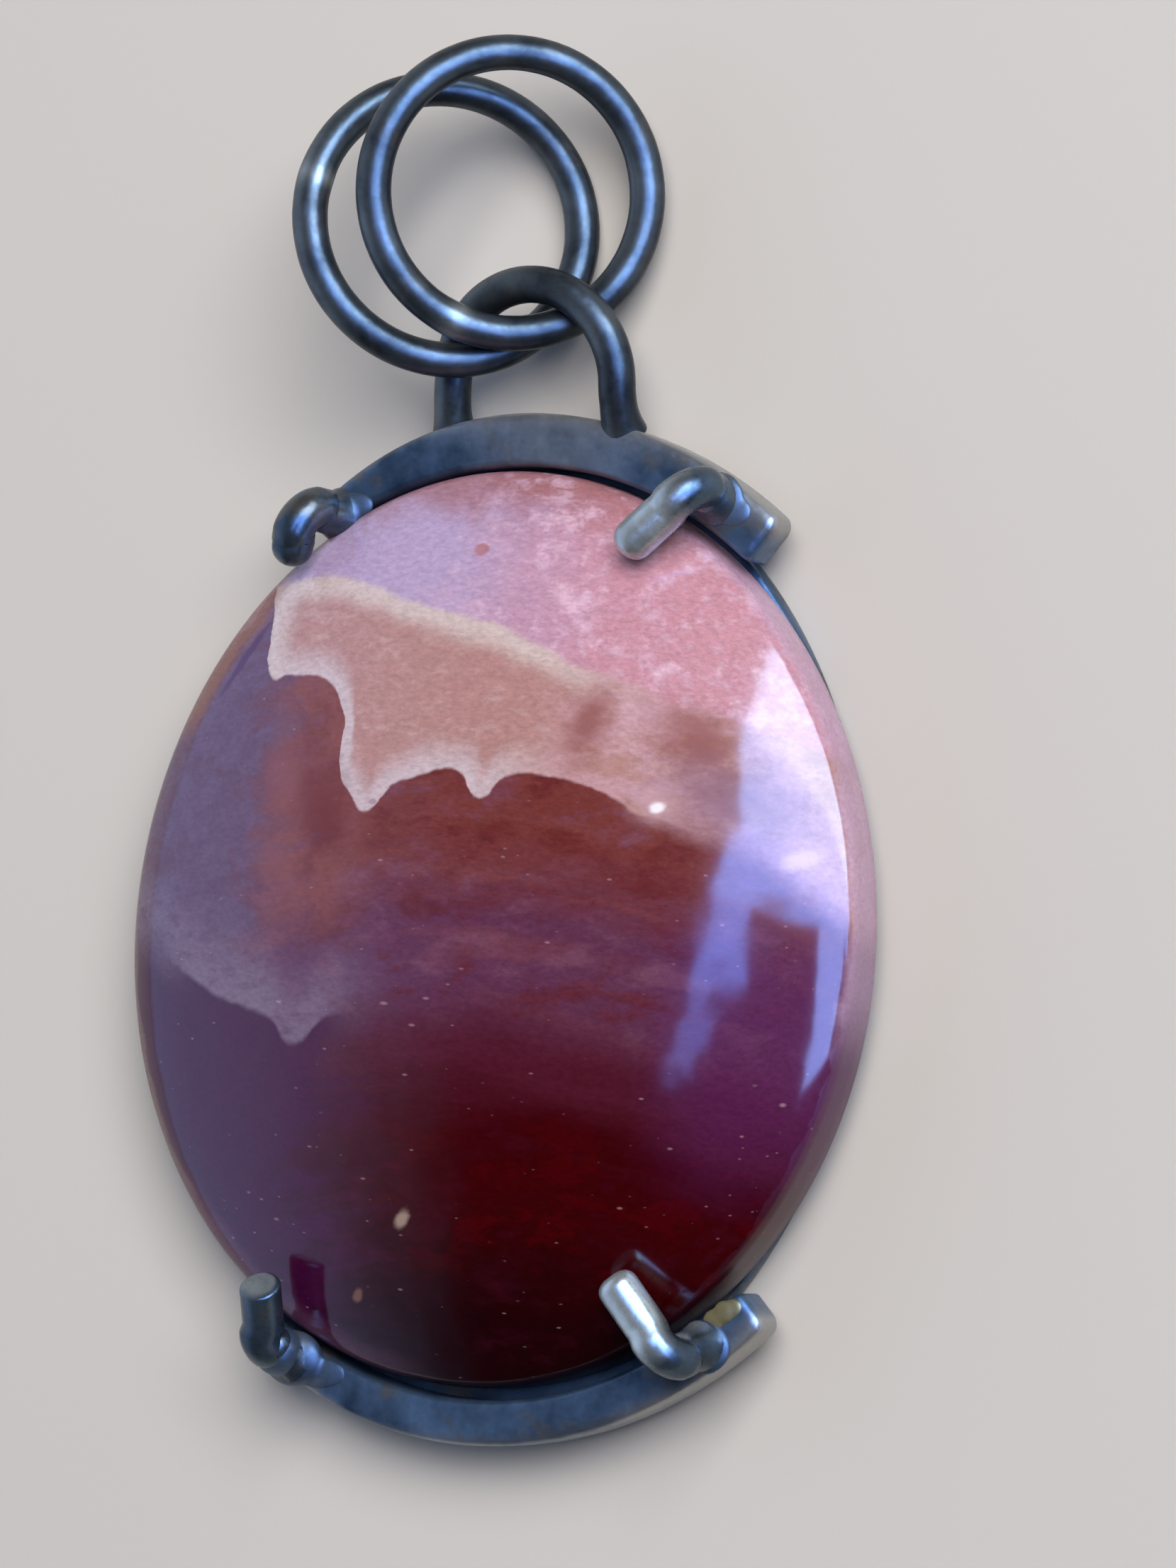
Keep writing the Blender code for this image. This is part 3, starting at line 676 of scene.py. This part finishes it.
for name, (inner, angles, bar_width, end_width) in BARS.items():
    middle = math.copysign(90.0, angles[1])
    bar_length = math.radians(abs(angles[1] - angles[0])) * (inner[1] + BAR_MID_REACH)
    bpy.ops.object.select_all(action="DESELECT")
    bpy.ops.mesh.primitive_grid_add(x_subdivisions=BAR_CELLS[0], y_subdivisions=BAR_CELLS[1],
                                    size=1.0)
    bar = bpy.context.object
    bar.name = name + "_crescent"
    bpy.ops.object.mode_set(mode="EDIT")
    bpy.ops.mesh.select_all(action="SELECT")
    bpy.ops.mesh.extrude_region_move(TRANSFORM_OT_translate={"value": (0.0, 0.0, 1.0)})
    bpy.ops.object.mode_set(mode="OBJECT")
    bar_wear_and_highlight = []
    for vertex in bar.data.vertices:
        run, end_share = cell_place(vertex.co.x, BAR_CELLS[0], BAR_END_ROUNDING,
                                    BAR_END_ROUNDING, bar_length)
        angle = angles[0] + (angles[1] - angles[0]) * run / bar_length
        past_middle = max(0.0, (angle - middle) / (angles[1] - middle))
        bar_reach = bar_width - (bar_width - end_width) * past_middle ** 2
        reach, side_share = cell_place(vertex.co.y, BAR_CELLS[1], BAR_INNER_ROUNDING,
                                       BAR_OUTER_ROUNDING, bar_reach)
        past_corner = math.hypot(end_share, side_share)
        if past_corner > 1.0:
            end_share /= past_corner
            side_share /= past_corner
            run = min(max(run, BAR_END_ROUNDING * (1.0 - end_share)),
                      bar_length - BAR_END_ROUNDING * (1.0 - end_share))
            reach = min(max(reach, BAR_INNER_ROUNDING * (1.0 - side_share)),
                        bar_reach - BAR_OUTER_ROUNDING * (1.0 - side_share))
            angle = angles[0] + (angles[1] - angles[0]) * run / bar_length
        drop = BAR_DROP * (1.0 - math.sqrt(max(0.0, 1.0 - min(1.0, past_corner) ** 2)))
        height = BAR_HEIGHT - drop if vertex.co.z > 0.5 else drop
        outward = reach / bar_reach
        # The outer edge is paler partly from rubbing and partly as a painted highlight; the right
        # end's outer side is a painted highlight
        worn = (BAR_LEAST_WEAR + BAR_EDGE_WEAR_AND_HIGHLIGHT * outward ** 5
                + BAR_END_HIGHLIGHT * outward ** 3 * math.exp(-run / BAR_END_HIGHLIGHT_LENGTH))
        if name == "top_bar":
            off_worn = (angle - TOP_BAR_WEAR_ANGLE) / TOP_BAR_WEAR_SPREAD
            worn += TOP_BAR_WEAR * math.exp(-off_worn ** 2)
        bar_wear_and_highlight.append(worn)
        turn = math.radians(angle)
        vertex.co = to_row((BAR_CENTRE_X + (inner[0] + reach) * math.cos(turn),
                            (inner[1] + reach) * math.sin(turn), BAR_BASE_Z + height))
    bpy.ops.object.mode_set(mode="EDIT")
    bpy.ops.mesh.select_all(action="SELECT")
    bpy.ops.mesh.normals_make_consistent(inside=False)
    bpy.ops.object.mode_set(mode="OBJECT")
    smooth(bar, 60.0)
    set_wear_and_highlight(bar, lambda vertex: bar_wear_and_highlight[vertex.index])
    bar.data.materials.append(blackened)
    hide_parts(name)
    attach(bar, "pendant")

# Prongs: four lengths of round silver wire, soldered upright on the bars and bent over the
# stone's edge. The solder flows out round each foot, and the ends are filed, each its own way,
# and worn bright. Each has its foot, bend, tip, lift off the stone, end rounding, filed slant
# and the length from its tip that is worn.
PRONG_RADIUS = 0.7
PRONG_BEND_RADIUS = 0.85
PRONG_SLOPE_ROOM = 0.13
SEAT_GAP = 0.06
PRONG_FOOT_DEPTH = 0.1
PRONG_SOLDER = (1.3, 1.0)
LEG_STEPS = 12
BEND_STEPS = 16
ARM_STEPS = 6
FILED_LENGTH = 0.9
FILED_REACH = 1.4
PRONG_WEAR = 0.35
PRONG_SIDE_HIGHLIGHT = 0.65
HIGHLIT_SIDE = Vector((-0.45, 0.35, 0.82))
PRONGS = {
    "prong_top_left": ((-7.0, 13.3), (-7.5, 13.3, 4.35), (-8.05, 11.4), 0.0, 0.66, 0.0, 0.5),
    "prong_top_right": ((6.85, 14.4), (6.8, 14.65, 4.5), (4.5, 12.35), 0.0, 0.6, 0.0, 3.2),
    "prong_bottom_left": ((-5.85, -15.0), (-6.4, -14.5, 3.9), (-6.2, -12.4),
                          0.6, 0.24, 14.0, 0.35),
    "prong_bottom_right": ((8.9, -13.2), (8.5, -13.6, 4.5), (6.4, -11.1),
                           0.0, 0.5, 4.0, 3.4),
}


def dome_height(x, y):
    """Height of the stone's polished top."""
    across = x - STONE_CENTRE[0]
    along = y - STONE_CENTRE[1]
    edge_x = STONE_DOME_EDGE * stone_oval * (1.0 - STONE_TAPER * along / STONE_HALF_LENGTH)
    share = (across / edge_x) ** 2 + (along / STONE_DOME_EDGE) ** 2
    return STONE_DOME_EDGE_Z + STONE_DOME_RISE * max(0.0, 1.0 - share) ** STONE_DOME_POWER


def add_wire(name, path, radius):
    """A round wire along points that each carry their own share of its radius."""
    curve = bpy.data.curves.new(name, "CURVE")
    curve.dimensions = "3D"
    curve.bevel_depth = radius * 0.001
    curve.bevel_resolution = 10
    curve.use_fill_caps = True
    spline = curve.splines.new("POLY")
    spline.points.add(len(path) - 1)
    for point, (place, share) in zip(spline.points, path):
        point.co = (*to_row(place), 1.0)
        point.radius = share
    wire = bpy.data.objects.new(name, curve)
    bpy.context.scene.collection.objects.link(wire)
    bpy.ops.object.select_all(action="DESELECT")
    wire.select_set(True)
    bpy.context.view_layer.objects.active = wire
    bpy.ops.object.convert(target="MESH")
    bpy.ops.object.mode_set(mode="EDIT")
    bpy.ops.mesh.select_all(action="SELECT")
    bpy.ops.mesh.remove_doubles(threshold=0.000001)
    bpy.ops.mesh.normals_make_consistent(inside=False)
    bpy.ops.object.mode_set(mode="OBJECT")
    return wire


def solder_share(height, spread, rise):
    """How far solder spreads a wire's foot, at a height above it in mm."""
    left = max(0.0, 1.0 - height / rise)
    return 1.0 + (spread - 1.0) * left ** 2.5


def file_end(wire, end, onward, slant):
    """Shears a wire's last part back at its upper side, so that its end face looks up."""
    upward = (Vector((0.0, 0.0, 1.0)) - onward * onward.z).normalized()
    for vertex in wire.data.vertices:
        offset = vertex.co - to_row(end)
        near_end = 1.0 + offset.dot(onward) / (FILED_LENGTH * 0.001)
        if near_end > 0.0 and offset.length < FILED_REACH * 0.001:
            cut = (offset.dot(upward) + PRONG_RADIUS * 0.001) * math.tan(math.radians(slant))
            vertex.co -= onward * (cut * near_end ** 2)


# Rubbed sterling silver: the same metal where it catches on cloth and skin. It is a pale
# greenish grey towards its tips from that rubbing, and along its upper side as a painted
# highlight; it is still dark low down, and a little glossier.
rubbed = add_silver("rubbed_highlit_sterling_silver", 0.7, 0.28, ("#27333e", "#55646e", "#6a6152"),
                    "#c2c9c2")
for name, (foot, bend, tip, lift, rounding, slant, worn_length) in PRONGS.items():
    tip_z = dome_height(*tip) + PRONG_RADIUS + PRONG_SLOPE_ROOM + SEAT_GAP + lift
    start = Vector((*foot, BAR_BASE_Z + BAR_HEIGHT - PRONG_FOOT_DEPTH))
    corner = Vector(bend)
    end = Vector((*tip, tip_z))
    back = (start - corner).normalized()
    onward = (end - corner).normalized()
    half_open = back.angle(onward) / 2.0
    centre = corner + (back + onward).normalized() * (PRONG_BEND_RADIUS / math.sin(half_open))
    reach = PRONG_BEND_RADIUS / math.tan(half_open)
    first = corner + back * reach - centre
    last = corner + onward * reach - centre
    path = []
    leg = (corner + back * reach - start).length
    for step in range(LEG_STEPS + 1):
        height = leg * step / LEG_STEPS
        path.append((start - back * height, solder_share(height, *PRONG_SOLDER)))
    for step in range(1, BEND_STEPS + 1):
        height = leg + PRONG_BEND_RADIUS * step / BEND_STEPS
        path.append((centre + first.slerp(last, step / BEND_STEPS),
                     solder_share(height, *PRONG_SOLDER)))
    arm = (end - path[-1][0]).length - rounding
    for step in range(1, ARM_STEPS + 1):
        path.append((end - onward * (rounding + arm * (1.0 - step / ARM_STEPS)), 1.0))
    for step in range(1, 10):
        round_turn = math.radians(10.0 * step)
        path.append((end - onward * (rounding * (1.0 - math.sin(round_turn))),
                     1.0 - rounding / PRONG_RADIUS * (1.0 - math.cos(round_turn))))
    prong = add_wire(name + "_claw", path, PRONG_RADIUS)
    file_end(prong, end, onward, slant)
    smooth(prong, 50.0)
    tip_place = to_row(end)
    # Paler towards the tip for real wear, and along the upper-left side as a painted highlight
    set_wear_and_highlight(prong, lambda vertex: (
        PRONG_WEAR + PRONG_SIDE_HIGHLIGHT * max(0.0, vertex.normal.dot(HIGHLIT_SIDE))
        - ((vertex.co - tip_place).length / 0.001 - 0.8 * worn_length)
        / (0.4 * worn_length + 0.5)))
    prong.data.materials.append(rubbed)
    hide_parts(name)
    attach(prong, "pendant")

# Solder: silver solder that ran out round the prongs' feet when they were soldered to the
# bars, in smooth low lumps, with a brassy patch at the bottom bar's right end. Each lump has
# its place and half sizes.
SOLDER_GRAIN = 0.04
SOLDER_WEAR = 0.3
SOLDER = {
    "solder_top_left": [((-6.9, 13.35, 2.8), (0.85, 0.75, 0.45)),
                        ((-6.3, 13.65, 2.8), (0.7, 0.45, 0.2))],
    "solder_top_right": [((6.95, 14.4, 2.78), (0.95, 0.85, 0.25)),
                         ((7.5, 14.0, 2.75), (0.7, 0.55, 0.18))],
    "solder_bottom_left": [((-5.85, -15.0, 2.8), (1.1, 0.95, 0.55)),
                           ((-4.9, -15.4, 2.75), (1.1, 0.55, 0.16)),
                           ((-6.2, -14.8, 3.2), (0.86, 0.84, 0.9))],
    "solder_bottom_right": [((8.95, -13.2, 2.78), (1.0, 0.9, 0.3)),
                            ((8.2, -13.7, 2.75), (0.8, 0.55, 0.16))],
    "solder_brassy_patch": [((9.25, -12.3, 2.76), (0.42, 0.4, 0.14)),
                            ((9.6, -12.0, 2.76), (0.42, 0.42, 0.16)),
                            ((9.9, -11.85, 2.74), (0.36, 0.36, 0.12))],
}

# Silver solder blackens like the bars, but duller. Solder with more copper and zinc in it
# stays a brassy brown.
silver_solder = add_silver("silver_solder", 0.6, 0.46, ("#223040", "#3c5066", "#5d5a52"),
                           "#7f8c98")
brassy_solder = add_silver("brassy_solder", 0.6, 0.42, ("#6a5f40", "#857850", "#8f8250"),
                           "#a39668")
for name, lumps in SOLDER.items():
    balls = []
    for place, half_sizes in lumps:
        bpy.ops.object.select_all(action="DESELECT")
        bpy.ops.mesh.primitive_uv_sphere_add(segments=32, ring_count=20, radius=0.001,
                                             location=to_row(place), scale=half_sizes)
        balls.append(bpy.context.object)
    for ball in balls:
        ball.select_set(True)
    bpy.ops.object.join()
    solder = bpy.context.object
    solder.name = name
    apply_place(solder)
    melted = solder.modifiers.new("Melted together", "REMESH")
    melted.mode = "VOXEL"
    melted.voxel_size = SOLDER_GRAIN * 0.001
    bpy.ops.object.modifier_apply(modifier=melted.name)
    settled = solder.modifiers.new("Settled", "SMOOTH")
    settled.factor = 0.6
    settled.iterations = 40
    bpy.ops.object.modifier_apply(modifier=settled.name)
    smooth(solder, 70.0)
    set_wear_and_highlight(solder, lambda vertex: SOLDER_WEAR)
    solder.data.materials.append(brassy_solder if "brassy" in name else silver_solder)
    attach(solder, "pendant")

# Bail loop: a U of round silver wire soldered to the top bar's outer side, its feet bent down
# to meet the bar and its arch raised a little so that the jump rings can turn in it.
LOOP_RADIUS = 0.625
LOOP_ARCH_RADIUS = 3.15
LOOP_LEG = 1.45
LOOP_LEFT_START = -0.5
LOOP_LEFT_SPLAY = 0.25
LOOP_RIGHT_START = -0.1
LOOP_FOOT = (-0.1, 16.7, 2.4)
LOOP_FOOT_DROP = 0.55
LOOP_SOLDER = (1.25, 1.1)
LOOP_PITCH = 12.0
LOOP_ROLL = 5.0
LOOP_LEG_STEPS = 10
LOOP_ARCH_STEPS = 48
LOOP_WEAR = 0.15
LOOP_TOP_WEAR_AND_HIGHLIGHT = 0.2

pitch = math.radians(LOOP_PITCH)
roll = math.radians(LOOP_ROLL)
along = Vector((0.0, math.cos(pitch), math.sin(pitch)))
lifted = Vector((0.0, -math.sin(pitch), math.cos(pitch)))
across = Vector((math.cos(roll), 0.0, 0.0)) + lifted * math.sin(roll)
foot = Vector(LOOP_FOOT)
left_foot = foot - across * (LOOP_ARCH_RADIUS + LOOP_LEFT_SPLAY) + along * LOOP_LEFT_START
left_knee = foot - across * LOOP_ARCH_RADIUS + along * LOOP_LEG
right_foot = foot + across * LOOP_ARCH_RADIUS + along * LOOP_RIGHT_START
right_knee = foot + across * LOOP_ARCH_RADIUS + along * LOOP_LEG
foot_drop = Vector((0.0, 0.0, LOOP_FOOT_DROP))
path = []
for step in range(LOOP_LEG_STEPS):
    place = left_foot.lerp(left_knee, step / LOOP_LEG_STEPS)
    path.append((place - foot_drop * (1.0 - step / LOOP_LEG_STEPS) ** 2,
                 solder_share((place - left_foot).length, *LOOP_SOLDER)))
for step in range(LOOP_ARCH_STEPS + 1):
    turn = math.pi * step / LOOP_ARCH_STEPS
    reach = LOOP_LEG + LOOP_ARCH_RADIUS * math.sin(turn)
    path.append((foot - across * (LOOP_ARCH_RADIUS * math.cos(turn)) + along * reach, 1.0))
for step in range(1, LOOP_LEG_STEPS + 1):
    place = right_knee.lerp(right_foot, step / LOOP_LEG_STEPS)
    path.append((place - foot_drop * (step / LOOP_LEG_STEPS) ** 2,
                 solder_share((place - right_foot).length, *LOOP_SOLDER)))

# Blackened silver wire: drawn smooth, so it is darker and more even than the sawn bars and
# catches the light as one soft line.
dark_wire = add_silver("dark_silver_wire", 0.75, 0.36, ("#1b2227", "#333f48", "#44423f"),
                       "#93968d")
bail = add_wire("bail_loop_wire", path, LOOP_RADIUS)
smooth(bail, 50.0)
# Paler on the wire's upper side, partly for wear and partly as a painted highlight
set_wear_and_highlight(bail, lambda vertex: LOOP_WEAR + LOOP_TOP_WEAR_AND_HIGHLIGHT * vertex.normal.z)
bail.data.materials.append(dark_wire)
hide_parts("bail_loop")
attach(bail, "pendant")

# Jump rings: two rings of round silver wire, wound round a rod, sawn apart and closed with
# solder, which leaves a slightly thick, bright seam. They hang side by side in the bail loop.
# Each has its centre, the way it faces and its seam's angle.
RING_RADIUS = 4.65
RING_WIRE_RADIUS = 0.6
SEAM_HALF_ANGLE = 9.0
SEAM_SWELL = 0.04
SEAM_WEAR = 0.45
RING_WEAR = 0.14
RING_TOP_WEAR_AND_HIGHLIGHT = 0.22
RING_THINNING = 0.985
RING_UNEVENNESS = 0.012
RING_ROUGH_SCALE = 900.0
JUMP_RINGS = {
    "jump_ring_upper": ((-0.905, 24.127, 4.053), (0.79, -0.052, 1.0), 250.0),
    "jump_ring_lower": ((-3.433, 23.107, 3.548), (0.776, 0.181, 1.0), 170.0),
}

for name, (centre, normal, seam) in JUMP_RINGS.items():
    turn = Vector((0.0, 0.0, 1.0)).rotation_difference(Vector(normal))
    bpy.ops.object.select_all(action="DESELECT")
    bpy.ops.mesh.primitive_torus_add(major_segments=200, minor_segments=32,
                                     major_radius=RING_RADIUS * 0.001,
                                     minor_radius=RING_WIRE_RADIUS * 0.001)
    ring = bpy.context.object
    ring.name = name + "_wire"
    seam_wear = []
    for vertex in ring.data.vertices:
        middle = Vector((*vertex.co.xy, 0.0)).normalized() * (RING_RADIUS * 0.001)
        angle = math.degrees(math.atan2(middle.y, middle.x))
        off_seam = abs((angle - seam + 180.0) % 360.0 - 180.0) / SEAM_HALF_ANGLE
        swell = 1.0 + SEAM_SWELL * math.exp(-off_seam * off_seam * 2.0)
        seam_wear.append(SEAM_WEAR * math.exp(-off_seam * off_seam * 4.0))
        rough = noise.noise(vertex.co * RING_ROUGH_SCALE + Vector((seam, 0.0, 0.0)))
        vertex.co = middle + (vertex.co - middle) * (
            swell * (RING_THINNING + RING_UNEVENNESS * rough))
    ring.rotation_mode = "QUATERNION"
    ring.rotation_quaternion = turn
    ring.location = to_row(centre)
    apply_place(ring)
    smooth(ring, 60.0)
    # Paler at the seam, and on the wire's upper side partly for wear and partly as a painted
    # highlight
    set_wear_and_highlight(ring, lambda vertex: (
        RING_WEAR + RING_TOP_WEAR_AND_HIGHLIGHT * vertex.normal.z + seam_wear[vertex.index]))
    ring.data.materials.append(dark_wire)
    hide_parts(name)
    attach(ring, "jump_rings")
